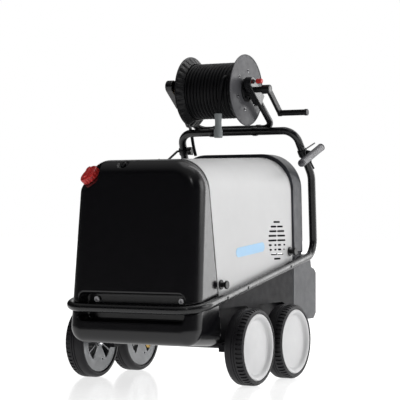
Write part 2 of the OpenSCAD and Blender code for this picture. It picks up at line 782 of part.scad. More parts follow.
link_route = [
    [-168, 200, 1139], [-168, 202, 1110], [-178, 225, 1080], [-204, 290, 1052], [-232, 360, 1052],
    [-246, 396, 1036], [-244, 404, 1005], [-232, 396, 965], [-216, 386, 925]
];
tail_route = [
    [84, 80, 1228], [81, 74, 1208], [78, 73, 1188], [74, 73, 1160], [70, 73, 1130], [66, 73, 1100], [64, 73, 1072]
];

module link_hose() color([0.06, 0.06, 0.065]) swept_hose(smooth(link_route, 4), 14);

module hose_tail() color([0.06, 0.06, 0.065]) swept_hose(smooth(tail_route, 2), hose_d);

module hose_coupling() {
    color([0.45, 0.46, 0.47]) translate([tail_x, 73, 984]) {
        cylinder(d = 36, h = 34);
        translate([0, 0, 33]) cylinder(d1 = 34, d2 = 27, h = 30);
        difference() {
            translate([0, 0, 62]) cylinder(d1 = 27, d2 = 33, h = 38);
            translate([0, 0, 87.8]) cylinder(d = hose_d, h = 20);
        }
    }
}

chassis_shell();
bumper_tube();
push_bow();
rail_screws();
axle(axle_y[0]);  // front_axle
axle(axle_y[1]);  // rear_axle
axle_clips();
fuel_tank();
tank_bolts();
drain_plug();
rear_console();
control_panel();
pressure_gauge();
rear_box();
float_tank();
electric_motor();
pressure_pump();
boiler();
burner_blower();
water_inlet();
cable_gland();
lance_holder();
lance_rest();
reel_stand();
reel_bracket(-231, -200, false);  // reel_bracket_left
reel_bracket(179, 147, true);  // reel_bracket_right
hose_swivel();
link_hose();
hose_tail();
hose_coupling();
tyre(-1, axle_y[0]);  // tyre_front_left
rim(-1, axle_y[0]);  // rim_front_left
hub_cap(-1, axle_y[0]);  // hub_cap_front_left
tyre(1, axle_y[0]);  // tyre_front_right
rim(1, axle_y[0]);  // rim_front_right
hub_cap(1, axle_y[0]);  // hub_cap_front_right
tyre(-1, axle_y[1]);  // tyre_rear_left
rim(-1, axle_y[1]);  // rim_rear_left
hub_cap(-1, axle_y[1]);  // hub_cap_rear_left
tyre(1, axle_y[1]);  // tyre_rear_right
rim(1, axle_y[1]);  // rim_rear_right
hub_cap(1, axle_y[1]);  // hub_cap_rear_right
reel_drum();
reel_flange(-1);  // reel_flange_left
reel_flange(1);  // reel_flange_right
hose_winding();
crank_arm();
crank_grip();
reel_lock_pin();
hood();
hood_knob(-1, hood_knob_at[0]);  // hood_knob_front_left
hood_knob(1, hood_knob_at[0]);  // hood_knob_front_right
hood_knob(-1, hood_knob_at[1]);  // hood_knob_rear_left
hood_knob(1, hood_knob_at[1]);  // hood_knob_rear_right
fuel_cap();
tank_top_cap();
panel_knob(-90, 765, 44, red);  // main_switch
panel_knob(0, 765, 52, black_matt);  // thermostat_knob
gauge_needle();
star_knob();
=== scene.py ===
"""Looks of a mobile hot-water high-pressure cleaner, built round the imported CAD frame.

Shapes are worked out in millimetres in the frame's axes: +X right, +Y towards the handle, +Z up.
Every maker of points returns (points, faces), and piece() turns the result into metres.
"""

import json
from math import ceil, cos, pi, radians, sin, sqrt, tan, tau

import bmesh
import bpy
import numpy as np
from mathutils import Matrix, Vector


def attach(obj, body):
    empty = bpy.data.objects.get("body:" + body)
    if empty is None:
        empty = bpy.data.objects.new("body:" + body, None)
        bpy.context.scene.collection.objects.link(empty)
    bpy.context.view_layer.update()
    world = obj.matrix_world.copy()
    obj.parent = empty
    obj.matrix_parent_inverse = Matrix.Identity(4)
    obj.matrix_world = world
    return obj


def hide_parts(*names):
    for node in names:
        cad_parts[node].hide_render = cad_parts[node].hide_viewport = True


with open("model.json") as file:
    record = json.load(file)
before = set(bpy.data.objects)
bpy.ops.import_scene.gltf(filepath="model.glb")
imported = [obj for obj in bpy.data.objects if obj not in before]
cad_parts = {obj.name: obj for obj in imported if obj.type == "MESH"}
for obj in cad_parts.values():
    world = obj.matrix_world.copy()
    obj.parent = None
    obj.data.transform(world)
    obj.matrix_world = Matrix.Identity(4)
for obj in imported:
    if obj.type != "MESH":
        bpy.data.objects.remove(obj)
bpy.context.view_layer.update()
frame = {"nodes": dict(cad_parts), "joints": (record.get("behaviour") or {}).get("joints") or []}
MM = 0.001

# ---------- driving sizes, as in the CAD ----------

TUBE_R = 16.5
RAIL_X = 304
RAIL_SLOPE = tan(radians(10.5))
BUMPER = (-543, 304)
JOINT_Y = -346
BEND_R = 100
BOW_FOOT_Y = 493
KNEE = (472, 832)
BAR = (362, 1022)
BAR_CORNER_X = 276
HOOD_REAR_Y = 324
HOSE_D = 16
LINK_D = 14
WHEEL_R = 150
WHEEL_X = 362.5
TYRE_NOTCHES = 52
CRANK_X = 226
STAND_X = (-212, 160)
STAND_RUN = (394, 1037)
STAND_R = 14
LOCK = (185, 1222)


def joint_mm(name):
    """A joint's place, in millimetres."""
    return np.array(next(j["pos_m"] for j in frame["joints"] if j["name"] == name)) / MM


REEL = joint_mm("reel_spin")
GRIP = joint_mm("crank_grip_spin")


def rail_z(y):
    return BUMPER[1] + RAIL_SLOPE * (y - BUMPER[0])


def half_at(z):
    """Half width of the body at height z."""
    return 285.5 - 0.0205 * (z - 400)


def front_at(z):
    """Front face of the tank at height z."""
    return -522 + 0.0948 * (z - 357)


def seam_at(z):
    """The leaning joint between tank and hood at height z."""
    return -342.6 - 0.14 * (z - 372)


def unit(v):
    v = np.array(v, float)
    return v / np.linalg.norm(v)


# ---------- camera ----------

def make_camera():
    data = bpy.data.cameras.new("camera")
    data.sensor_width = 36
    data.lens = 146.5
    data.clip_end = 200
    cam = bpy.data.objects.new("camera", data)
    cam.location = (3.2437, -5.8791, 0.6702)
    cam.rotation_euler = (radians(90.474), 0, radians(28.754))
    bpy.context.scene.collection.objects.link(cam)
    bpy.context.scene.camera = cam


# ---------- materials ----------

def new_material(name):
    mat = bpy.data.materials.new(name)
    mat.use_nodes = True
    mat.node_tree.nodes.clear()
    out = mat.node_tree.nodes.new("ShaderNodeOutputMaterial")
    shader = mat.node_tree.nodes.new("ShaderNodeBsdfPrincipled")
    mat.node_tree.links.new(shader.outputs[0], out.inputs[0])
    return mat, mat.node_tree.nodes, mat.node_tree.links, shader


def finish(name, color, rough, vary=0.15, grain=900, bump=0.02, spread=0.06, bump_scale=None, **values):
    """A moulded, painted or metal surface: mottled colour, uneven gloss and fine relief.

    vary is the colour's change, spread the roughness's; grain is the relief's fineness per metre."""
    mat, nodes, links, shader = new_material(name)
    place = nodes.new("ShaderNodeTexCoord")

    def noise(scale, detail):
        node = nodes.new("ShaderNodeTexNoise")
        node.inputs["Scale"].default_value = scale
        node.inputs["Detail"].default_value = detail
        links.new(place.outputs["Object"], node.inputs["Vector"])
        return node

    cloud = noise(9, 6)
    ramp = nodes.new("ShaderNodeValToRGB")
    ramp.color_ramp.elements[0].position = 0.3
    ramp.color_ramp.elements[1].position = 0.7
    ramp.color_ramp.elements[0].color = (*[c * (1 - vary) for c in color], 1)
    ramp.color_ramp.elements[1].color = (*[min(c * (1 + vary), 1) for c in color], 1)
    links.new(cloud.outputs["Fac"], ramp.inputs[0])
    links.new(ramp.outputs[0], shader.inputs["Base Color"])
    smear = noise(31, 4)
    gloss = nodes.new("ShaderNodeMapRange")
    gloss.inputs["From Min"].default_value = 0.3
    gloss.inputs["From Max"].default_value = 0.7
    gloss.inputs["To Min"].default_value = max(rough - spread, 0.02)
    gloss.inputs["To Max"].default_value = rough + spread
    links.new(smear.outputs["Fac"], gloss.inputs[0])
    links.new(gloss.outputs[0], shader.inputs["Roughness"])
    if bump:
        relief = noise(grain, 2)
        raised = nodes.new("ShaderNodeBump")
        raised.inputs["Strength"].default_value = bump
        raised.inputs["Distance"].default_value = 0.001
        links.new(relief.outputs["Fac"], raised.inputs["Height"])
        links.new(raised.outputs[0], shader.inputs["Normal"])
    for key, value in values.items():
        shader.inputs[key.replace("_", " ")].default_value = value
    return mat


def make_materials():
    return {
        "tank": finish("tank_gloss", (0.0035, 0.0033, 0.0045), 0.22, vary=0.05, grain=90, bump=0.01, spread=0.012),
        "frame": finish("frame_powder_coat", (0.004, 0.004, 0.005), 0.26, grain=1300, bump=0.03,
                        Specular_IOR_Level=0.4, Coat_Weight=0.25, Coat_Roughness=0.1),
        "hood": finish("hood_silver", (0.6, 0.6, 0.603), 0.42, vary=0.02, grain=2200, bump=0.02, spread=0.03),
        "console": finish("console_grain", (0.03, 0.031, 0.038), 0.36, grain=1700, bump=0.12,
                          Specular_IOR_Level=0.3),
        "grey": finish("chassis_grain", (0.012, 0.0115, 0.0135), 0.5, grain=1500, bump=0.14,
                       Specular_IOR_Level=0.1),
        "smoke": finish("holder_grey", (0.075, 0.073, 0.082), 0.3, grain=900, bump=0.04),
        "black": finish("black_plastic", (0.006, 0.006, 0.007), 0.36, grain=1400, bump=0.04,
                        Specular_IOR_Level=0.3),
        "tyre": finish("tyre_rubber", (0.009, 0.0085, 0.0105), 0.5, vary=0.3, grain=650, bump=0.2,
                       Specular_IOR_Level=0.35),
        "rim": finish("rim_silver", (0.185, 0.19, 0.197), 0.4, grain=1900, bump=0.12, Metallic=0.25),
        "white": finish("cap_white", (0.58, 0.58, 0.585), 0.36, vary=0.03, grain=700, bump=0.03),
        "red": finish("red_plastic", (0.6, 0.03, 0.028), 0.34, vary=0.1, grain=1000, bump=0.06),
        "hose": finish("hose_rubber", (0.003, 0.003, 0.004), 0.48, vary=0.3, grain=1100, bump=0.15,
                       Specular_IOR_Level=0.18),
        "boot": finish("grey_rubber", (0.24, 0.26, 0.265), 0.5, grain=1300, bump=0.25),
        "zinc": finish("zinc_steel", (0.6, 0.6, 0.62), 0.3, grain=1500, bump=0.08, Metallic=1.0),
        "brass": finish("plain_brass", (0.7, 0.47, 0.16), 0.28, grain=1200, bump=0.06, Metallic=1.0),
        "plate": finish("flange_grey", (0.062, 0.062, 0.068), 0.42, vary=0.06, grain=2400, bump=0.02,
                        Specular_IOR_Level=0.35),
        "motor": finish("motor_casting", (0.10, 0.14, 0.19), 0.5, grain=500, bump=0.3),
        "poly": finish("natural_poly", (0.72, 0.73, 0.70), 0.45, vary=0.05, grain=600, bump=0.1),
        "blue": finish("badge_blue", (0.30, 0.55, 0.80), 0.35, vary=0.04, grain=800, bump=0.02),
    }


# ---------- shapes from distance fields ----------

def both(a, b, r):
    """Inside a and inside b, the edge between them rounded to r."""
    return np.minimum(-r, np.maximum(a, b)) + np.hypot(np.maximum(a + r, 0), np.maximum(b + r, 0))


def less(a, b, r):
    """Inside a and outside b, with a rounded lip."""
    return both(a, -b, r)


def flat_box(x, y, half_x, half_y, r):
    qx, qy = np.abs(x) - half_x + r, np.abs(y) - half_y + r
    return np.hypot(np.maximum(qx, 0), np.maximum(qy, 0)) + np.minimum(np.maximum(qx, qy), 0) - r


def plane(p, at, way):
    return (p - np.array(at, float)) @ unit(way)


def stick(p, a, b, r):
    """Distance to a rod with round ends."""
    a, b = np.array(a, float), np.array(b, float)
    t = np.clip(((p - a) @ (b - a)) / ((b - a) @ (b - a)), 0, 1)
    return np.linalg.norm(p - a - t[:, None] * (b - a), axis=1) - r


def slope_of(field, p):
    e = 0.02
    g = np.empty_like(p)
    for k in range(3):
        d = np.zeros(3)
        d[k] = e
        g[:, k] = (field(p + d) - field(p - d)) / (2 * e)
    return g


def nets(field, low, high, step):
    """The surface where field is 0, as quads: a point for each grid cell that it crosses, moved onto it."""
    low, high = np.array(low, float), np.array(high, float)
    count = np.ceil((high - low) / step).astype(int) + 1
    axes = [low[k] + step * np.arange(count[k]) for k in range(3)]
    grid = np.stack(np.meshgrid(*axes, indexing="ij"), -1)
    value = field(grid.reshape(-1, 3)).reshape(count)
    cells = count - 1
    total, hits, edges = np.zeros((*cells, 3)), np.zeros(cells), []
    for k in range(3):
        a = value.take(range(cells[k]), axis=k)
        b = value.take(range(1, count[k]), axis=k)
        cross = (a < 0) != (b < 0)
        place = grid.take(range(cells[k]), axis=k).copy()
        place[..., k] += step * np.where(cross, a / np.where(cross, a - b, 1), 0)
        edges.append((cross, a < 0))
        u, v = [i for i in range(3) if i != k]
        for du in (0, 1):
            for dv in (0, 1):
                part = [slice(None)] * 3
                part[u], part[v] = slice(du, du + cells[u]), slice(dv, dv + cells[v])
                total += np.where(cross[tuple(part)][..., None], place[tuple(part)], 0)
                hits += cross[tuple(part)]
    used = hits > 0
    number = np.full(cells, -1)
    number[used] = np.arange(used.sum())
    points = total[used] / hits[used][:, None]
    faces = []
    for k in range(3):
        cross, inner = edges[k]
        u, v = (k + 1) % 3, (k + 2) % 3
        at = np.argwhere(cross)
        at = at[(at[:, u] > 0) & (at[:, u] < cells[u]) & (at[:, v] > 0) & (at[:, v] < cells[v])]
        quad = []
        for du, dv in ((1, 1), (0, 1), (0, 0), (1, 0)):
            c = at.copy()
            c[:, u] -= du
            c[:, v] -= dv
            quad.append(number[tuple(c.T)])
        quad = np.stack(quad, 1)
        flip = ~inner[tuple(at.T)]
        quad[flip] = quad[flip][:, ::-1]
        faces.append(quad)
    for _ in range(5):
        g = slope_of(field, points)
        points -= np.clip(field(points), -step, step)[:, None] * g / np.maximum((g * g).sum(1), 0.2)[:, None]
    return points, np.concatenate(faces).tolist()


# ---------- shapes from rings ----------

def rings(rows, closed_round=True, closed_long=False, caps=False):
    """Quads between rows of points. Each row closes on itself if closed_round."""
    rows = np.array(rows, float)
    n, m = rows.shape[:2]
    faces = []
    for i in range(n if closed_long else n - 1):
        for j in range(m if closed_round else m - 1):
            a, b = i * m + j, i * m + (j + 1) % m
            c, d = ((i + 1) % n) * m + (j + 1) % m, ((i + 1) % n) * m + j
            faces.append((a, b, c, d))
    if caps:
        faces.append(tuple(range(m - 1, -1, -1)))
        faces.append(tuple((n - 1) * m + j for j in range(m)))
    return rows.reshape(-1, 3), faces


def lathe(profile, steps=64):
    """Turns (radius, height) points about +Z. The profile runs so that the outside is on its right."""
    angles = np.arange(steps) * tau / steps
    rows = [[(r * cos(a), r * sin(a), h) for a in angles] for r, h in profile]
    points, faces = rings(rows)
    return points, faces


def bent(corners, radii):
    """Points along a tube's centre line, round its bends."""
    p = [np.array(c, float) for c in corners]
    line = [p[0]]
    for i, r in enumerate(radii, 1):
        u, v = unit(p[i] - p[i - 1]), unit(p[i + 1] - p[i])
        turn = np.arccos(np.clip(u @ v, -1, 1))
        reach = r * tan(turn / 2)
        centre = p[i] + unit(v - u) * r / cos(turn / 2)
        start = p[i] - u * reach - centre
        n = max(4, ceil(turn / radians(4)))
        for k in range(n + 1):
            a = turn * k / n
            line.append(centre + start * cos(a) + u * r * sin(a))
    return line + [p[-1]]


def sweep(line, radius, sides=24, caps=True):
    """A tube along a line; radius is one number or one for each point."""
    line = np.array(line, float)
    radius = np.broadcast_to(radius, len(line))
    way = np.gradient(line, axis=0)
    way /= np.linalg.norm(way, axis=1)[:, None]
    side = unit(np.cross(way[0], (0.31, 0.2, 0.93)))
    rows = []
    for p, w, r in zip(line, way, radius):
        side = unit(side - w * (side @ w))
        up = np.cross(w, side)
        rows.append([p + r * (cos(a) * side + sin(a) * up) for a in np.arange(sides) * tau / sides])
    return rings(rows, caps=caps)


def smooth_line(points, steps):
    """Catmull-Rom curve through the points."""
    p = np.array([points[0], *points, points[-1]], float)
    out = []
    for a, b, c, d in zip(p, p[1:], p[2:], p[3:]):
        for t in np.arange(steps) / steps:
            out.append(0.5 * (2 * b + (c - a) * t + (2 * a - 5 * b + 4 * c - d) * t * t
                              + (3 * b - a - 3 * c + d) * t ** 3))
    return np.array([*out, p[-1]])


def aim(shape, at, way, spin=0.0):
    """Turns a shape made about +Z to point along way, and puts it at a place."""
    points, faces = shape
    z = unit(way)
    x = unit(np.cross((0, 0, 1), z)) if abs(z[2]) < 0.999 else np.array((1.0, 0, 0))
    y = np.cross(z, x)
    x, y = x * cos(spin) + y * sin(spin), y * cos(spin) - x * sin(spin)
    return np.asarray(points) @ np.stack([x, y, z]) + np.array(at, float), faces


def prism(outline, low, high):
    """An outline in X-Y between two heights."""
    n = len(outline)
    points = [(*p, low) for p in outline] + [(*p, high) for p in outline]
    faces = [tuple(range(n - 1, -1, -1)), tuple(range(n, 2 * n))]
    faces += [(i, (i + 1) % n, n + (i + 1) % n, n + i) for i in range(n)]
    return np.array(points, float), faces


def polygon(n, r, start=0.0):
    return [(r * cos(start + i * tau / n), r * sin(start + i * tau / n)) for i in range(n)]


def joined(*shapes):
    points, faces, base = [], [], 0
    for p, f in shapes:
        points.append(np.asarray(p, float))
        faces += [tuple(base + i for i in face) for face in f]
        base += len(p)
    return np.concatenate(points), faces


# ---------- pieces ----------

def piece(name, parts, body, replaces=(), angle=35, bevel=0.0, field=None):
    """Makes one Blender object from (shape, material) pairs in millimetres and rides it on a body."""
    mesh = bpy.data.meshes.new(name)
    points, faces = joined(*[shape for shape, _ in parts])
    mesh.from_pydata((points * MM).tolist(), [], faces)
    materials = list(dict.fromkeys(m for _, m in parts))
    for key in materials:
        mesh.materials.append(MAT[key])
    tones = np.concatenate([[materials.index(m)] * len(shape[1]) for shape, m in parts])
    mesh.polygons.foreach_set("material_index", tones.astype(int))
    mesh.polygons.foreach_set("use_smooth", [True] * len(mesh.polygons))
    mesh.update()
    if field is None:
        mesh.set_sharp_from_angle(angle=radians(angle))
    else:
        normals = slope_of(field, points)
        normals /= np.linalg.norm(normals, axis=1)[:, None]
        mesh.normals_split_custom_set_from_vertices(normals.tolist())
    obj = bpy.data.objects.new(name, mesh)
    bpy.context.scene.collection.objects.link(obj)
    if bevel:
        mod = obj.modifiers.new("bevel", "BEVEL")
        mod.width = bevel * MM
        mod.segments = 2
        mod.limit_method = "ANGLE"
        mod.angle_limit = radians(40)
        mod.harden_normals = True
    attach(obj, body)
    if replaces:
        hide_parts(*replaces)
    return obj


def paint(node, key):
    """Gives a CAD node a material."""
    data = frame["nodes"][node].data
    data.materials.clear()
    data.materials.append(MAT[key])


def cord(name, line, d, body, replaces):
    """A round hose as a curve along a line in millimetres."""
    line = np.array(line, float) * MM
    data = bpy.data.curves.new(name, "CURVE")
    data.dimensions = "3D"
    data.bevel_depth = d * MM / 2
    data.bevel_resolution = 4
    data.use_fill_caps = True
    spline = data.splines.new("POLY")
    spline.points.add(len(line) - 1)
    spline.points.foreach_set("co", np.column_stack([line, np.ones(len(line))]).ravel())
    spline.use_smooth = True
    data.materials.append(MAT["hose"])
    obj = bpy.data.objects.new(name, data)
    bpy.context.scene.collection.objects.link(obj)
    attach(obj, body)
    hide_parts(*replaces)
    return obj


# ---------- front tank ----------

CAP_AXIS = np.array([-0.39, -0.63, 0.67])
CAP_SEAT = np.array([-235, -427, 813.0])
TOP_CAP_AXIS = np.array([0, -0.63, 0.77])
TOP_CAP_SEAT = np.array([-75, -458, 866.5])
SLOT = (-62, -456.5, 872.9), (-15, -426.6, 882.9)


def away(p, at, way):
    """Distance along and across an axis."""
    along = plane(p, at, way)
    across = np.linalg.norm(p - np.array(at) - along[:, None] * unit(way), axis=1)
    return along, across


def tank_field(p):
    x, y, z = p.T
    top = z - 879 - 5 * np.clip((y + 423) / 123, 0, 1)
    base = 165 - 12 * np.clip((y + 469) / 169, 0, 1) - z
    body = both(both(np.abs(x) - half_at(z), top, 120), base, 66)
    body = both(body, (front_at(z) - y) / 1.0045, 58)
    body = both(body, plane(p, (0, seam_at(372) - 1, 372), (0, 1, 0.14)), 4)
    pocket = both(flat_box(x, z - 307, 236, 54, 23), y + 455, 9)
    body = less(body, pocket, 7)
    tilt = radians(10.5)
    v = (y - BUMPER[0]) * cos(tilt) + (z - BUMPER[1]) * sin(tilt)
    w = (z - BUMPER[1]) * cos(tilt) - (y - BUMPER[0]) * sin(tilt)
    body = less(body, np.hypot(flat_box(x, v - 1000, RAIL_X, 1000, BEND_R), w) - 19, 3)
    along, across = away(p, CAP_SEAT, CAP_AXIS)
    body = less(body, both(-along, across - 75, 3), 4)
    along, across = away(p, TOP_CAP_SEAT, TOP_CAP_AXIS)
    body = less(body, both(-along - 9, across - 21, 2), 3)
    return less(body, stick(p, *SLOT, 6), 1.5)


def make_tank():
    shape = nets(tank_field, (-292, -540, 146), (292, -304, 886), 6)
    piece("fuel_tank_body", [(shape, "tank")], "root", ["fuel_tank"], field=tank_field)
    bolts = []
    for x in (-190.6, 190.6):
        ring = lathe([(0, 0), (10.5, 0), (12, 1.2), (12, 8.8), (10.6, 10), (5.6, 10), (5.2, 4.5), (0, 4.5)], 36)
        bolts.append((aim(ring, (x, -455, 334), (0, -1, 0)), "zinc"))
    under = lathe([(0, 0), (5, 0), (7, 1.5), (7, 6), (0, 6)], 24)
    bolts.append((aim(under, (104, -335, 151), (0, 0, 1)), "zinc"))
    piece("tank_bolts_turned", bolts, "root", ["tank_bolts"])


def make_caps():
    """Filler cap with its knurled rim and grip bar, and the small cap in the tank's top."""
    rows = []
    for h, r, cut in ((1, 40.5, 0), (2.2, 42, 0), (3.2, 42, 2.6), (21, 42, 2.6), (22.4, 42, 0), (23.5, 41.4, 0),
                      (27, 38.2, 0), (27.4, 36.5, 0), (26.2, 34.5, 0), (26, 0.01, 0)):
        row = []
        for i in range(18):
            for t, dip in ((0, 0), (0.3, 0), (0.42, 1), (0.65, 1.15), (0.88, 1)):
                a = (i + t) * tau / 18
                rr = r - cut * dip
                row.append((rr * cos(a), rr * sin(a), h))
        rows.append(row)
    rim = rings(rows)
    bar = rounded_bar(11, 30, 26, 35, 8)
    cap = [(aim(shape, CAP_SEAT, CAP_AXIS, 0.5), "red") for shape in (rim, bar)]
    piece("fuel_cap_moulded", cap, "fuel_cap", ["fuel_cap"], bevel=0.6)
    small = lathe([(0, 0.4), (11.5, 0.4), (12.5, 1.4), (12.5, 8.2), (11.2, 9.4), (0, 9.4)], 40)
    rib = rounded_bar(2, 10, 9, 13, 1.8)
    parts = [(aim(shape, TOP_CAP_SEAT - 9 * unit(TOP_CAP_AXIS), TOP_CAP_AXIS), "black") for shape in (small, rib)]
    piece("tank_top_cap_moulded", parts, "tank_top_cap", ["tank_top_cap"], bevel=0.4)


def rounded_bar(half_x, half_y, low, high, r, steps=6):
    """An upright block with rounded corners."""
    outline = []
    for sx, sy, start in ((1, 1, 0), (-1, 1, 90), (-1, -1, 180), (1, -1, 270)):
        for k in range(steps + 1):
            a = radians(start + 90 * k / steps)
            outline.append((sx * (half_x - r) + r * cos(a), sy * (half_y - r) + r * sin(a)))
    return prism(outline, low, high)


# ---------- hood ----------

HOOD_BACK = HOOD_REAR_Y - 0.5


def hood_point(u, side, t):
    """A point of the hood's skin: u runs from the joint to the rear, t from the foot to the middle of the top."""
    y, z = -380 + 704 * u, 600.0
    for _ in range(6):
        k = (y + 440) / 763
        top, r = 880 + 28 * k, 120 + 30 * k
        foot = 310 + RAIL_SLOPE * (y - BUMPER[0])
        if t < 0.5:
            z = foot + (top - r - foot) * t / 0.5
            x = half_at(z)
        elif t < 0.8:
            a = (t - 0.5) / 0.3 * pi / 2
            x, z = half_at(top - r) - r + r * cos(a), top - r + r * sin(a)
        else:
            x, z = (half_at(top - r) - r) * (1 - t) / 0.2, top
        y = (seam_at(z) + 1) * (1 - u) + HOOD_BACK * u
    return side * x, y, z


def cut_out(obj, cutters):
    """Cuts the cutters' shapes out of an object's mesh, leaving the cut faces in its second material."""
    tool = bpy.data.meshes.new("cutter")
    points, faces = joined(*cutters)
    tool.from_pydata((points * MM).tolist(), [], faces)
    tool.polygons.foreach_set("material_index", [1] * len(faces))
    helper = bpy.data.objects.new("cutter", tool)
    bpy.context.scene.collection.objects.link(helper)
    mod = obj.modifiers.new("cut", "BOOLEAN")
    mod.object = helper
    mod.solver = "EXACT"
    mod.use_self = True
    evaluated = obj.evaluated_get(bpy.context.evaluated_depsgraph_get())
    mesh = bpy.data.meshes.new_from_object(evaluated)
    obj.modifiers.clear()
    obj.data = mesh
    bpy.data.objects.remove(helper)
    mesh.set_sharp_from_angle(angle=radians(30))


def stadium(y, z, half, r, x0, x1):
    """A slot's cutter: a bar with round ends along Y, through the right side."""
    outline = []
    for sign, start in ((1, -90), (-1, 90)):
        for k in range(9):
            a = radians(start + 180 * k / 8)
            outline.append((y + sign * (half - r) + r * cos(a), z + r * sin(a)))
    points, faces = prism(outline, x0, x1)
    return points[:, [2, 0, 1]], faces


GRILLE = (180, 559)
GRILLE_R = 83
GRILLE_ROWS = 9
GRILLE_PITCH = 19


def make_hood():
    across = ([k / 44 for k in range(22)] + [0.5 + 0.3 * k / 20 for k in range(20)]
              + [0.8 + 0.2 * k / 6 for k in range(7)])
    walk = [(1, t) for t in across] + [(-1, t) for t in across[-2::-1]]
    rows = [[hood_point(u, side, t) for side, t in walk] for u in np.linspace(0, 1, 40)]
    points, faces = rings(rows, closed_round=False)
    skin = points, [f[::-1] for f in faces]
    hood = piece("hood_skin", [(skin, "hood")], "hood", ["hood"], angle=30)
    solid = hood.modifiers.new("sheet", "SOLIDIFY")
    solid.thickness = 2.5 * MM
    solid.offset = -1
    solid.use_even_offset = True
    solid.material_offset = 1
    hood.data.materials.append(MAT["black"])
    cutters = []
    for i in range(GRILLE_ROWS):
        rise = (i - GRILLE_ROWS // 2) * GRILLE_PITCH
        half = sqrt(GRILLE_R ** 2 - rise ** 2) - 4
        cuts = [(-half, -4), (4, half)]
        if i in (0, GRILLE_ROWS - 1):
            cuts = [(-half, half)]
        elif i in (2, 3):
            cuts = [(-half, -50), (-25, -6), (8, 37), (60, half)]
        for a, b in cuts:
            cutters.append(stadium(GRILLE[0] + (a + b) / 2, GRILLE[1] + rise, (b - a) / 2, 3.8, 255, 300))
    ring = [(44.5 * cos(a), 44.5 * sin(a)) for a in np.arange(48) * tau / 48]
    at, way = CAP_SEAT - 3 * CAP_AXIS, CAP_AXIS
    upper = aim(prism(ring, 0, 80), at, way)[0]
    lower = upper - np.array((0, 0, 84.0))
    from_hull = hull_of(np.concatenate([upper, lower]))
    cut_out(hood, cutters + [from_hull])
    badge = rounded_bar(125, 19, 0, 1.2, 19)
    tilt = radians(5)
    out = unit((1, 0, 0.0205))
    along = np.array((0, cos(tilt), sin(tilt)))
    up = np.cross(out, along)
    points = badge[0][:, [0]] * along + badge[0][:, [1]] * up + badge[0][:, [2]] * out
    points += (half_at(525) + 0.1, -64, 525)
    piece("hood_badge", [((points, badge[1]), "blue")], "hood", bevel=0.4)
    for name, side, (y, z) in (("front_left", -1, (-322, 395)), ("front_right", 1, (-322, 395)),
                               ("rear_left", -1, (298, 511)), ("rear_right", 1, (298, 511))):
        x = side * (half_at(z) + 0.6)
        turned = lathe([(0, 0), (18, 0), (19, 1), (19, 4), (18, 5), (10.5, 5.6), (9.6, 7), (9.6, 20), (15, 21),
                        (16.5, 22.3), (16.5, 28.4), (15, 30), (0, 30)], 48)
        parts = [(aim(turned, (x, y, z), (side, 0, 0)), "black")]
        piece("hood_knob_" + name + "_turned", parts, "hood_knob_" + name,
              ["hood_knob_" + name])


def hull_of(points):
    """The convex hull of some points."""
    bm = bmesh.new()
    for p in points:
        bm.verts.new(p)
    bmesh.ops.convex_hull(bm, input=bm.verts)
    bmesh.ops.delete(bm, geom=[v for v in bm.verts if not v.link_faces], context="VERTS")
    bmesh.ops.recalc_face_normals(bm, faces=bm.faces)
    bm.verts.index_update()
    shape = np.array([v.co[:] for v in bm.verts]), [tuple(v.index for v in f.verts) for f in bm.faces]
    bm.free()
    return shape


# ---------- console and rear box -------------------

def console_field(p):
    x, y, z = p.T
    body = both(np.abs(x) - half_at(z) - 8, z - 923.5, 150)
    body = both(body, 505 - z, 4)
    body = both(body, y - 424, 17)
    return both(body, 325 - y, 3)


def make_console():
    shape = nets(console_field, (-302, 318, 498), (302, 430, 930), 6)
    skirt = []
    for side in (-1, 1):
        outline = [(326, 507), (326, 472), (329, 470.3), (369, 495.3), (415, 495.3), (415, 507)]
        points, faces = prism(outline, 277, 283)
        points = points[:, [2, 0, 1]] * (side, 1, 1)
        skirt.append(((points, faces), "console"))
    piece("rear_console_body", [(shape, "console")], "root", ["rear_console"],
          field=console_field)
    piece("rear_console_skirt", skirt, "root", ["rear_console"])
    outline = [(329, 262), (329, 470), (369, 494.8), (498, 494.8), (512, 440), (540, 432), (559.3, 415),
               (559.3, 240), (536, 217.2), (372, 217.2)]
    points, faces = prism(outline, -286.5, 286.5)
    piece("rear_box_body", [((points[:, [2, 0, 1]], faces), "console")], "root", ["rear_box"],
          bevel=5)


# ---------- tubes ----------

def make_tubes():
    corners = [(RAIL_X, JOINT_Y, rail_z(JOINT_Y)), (RAIL_X, *BUMPER), (-RAIL_X, *BUMPER),
               (-RAIL_X, JOINT_Y, rail_z(JOINT_Y))]
    tube = sweep(bent(corners, [BEND_R, BEND_R]), TUBE_R, 32)
    piece("bumper_bend", [(tube, "frame")], "root", ["bumper_tube"])
    start = JOINT_Y + 0.8
    half = [(RAIL_X, start, rail_z(start)), (RAIL_X, BOW_FOOT_Y, rail_z(BOW_FOOT_Y)), (RAIL_X, *KNEE),
            (BAR_CORNER_X, *BAR)]
    corners = half + [(-x, y, z) for x, y, z in half[::-1]]
    tube = sweep(bent(corners, [70, 90, 62, 62, 90, 70]), TUBE_R, 32)
    piece("push_bow_bend", [(tube, "frame")], "root", ["push_bow"])
    screws = []
    for side in (-1, 1):
        for y in (JOINT_Y + 22, -150, 240):
            head = lathe([(0, 0), (4, 0), (6.2, 0.2), (6.4, 1.2), (4.5, 2.9), (0, 3)], 24)
            screws.append((aim(head, (side * (RAIL_X + TUBE_R), y, rail_z(y)), (side, 0, 0)), "frame"))
    piece("rail_screw_heads", screws, "root")


# ---------- wheels ----------

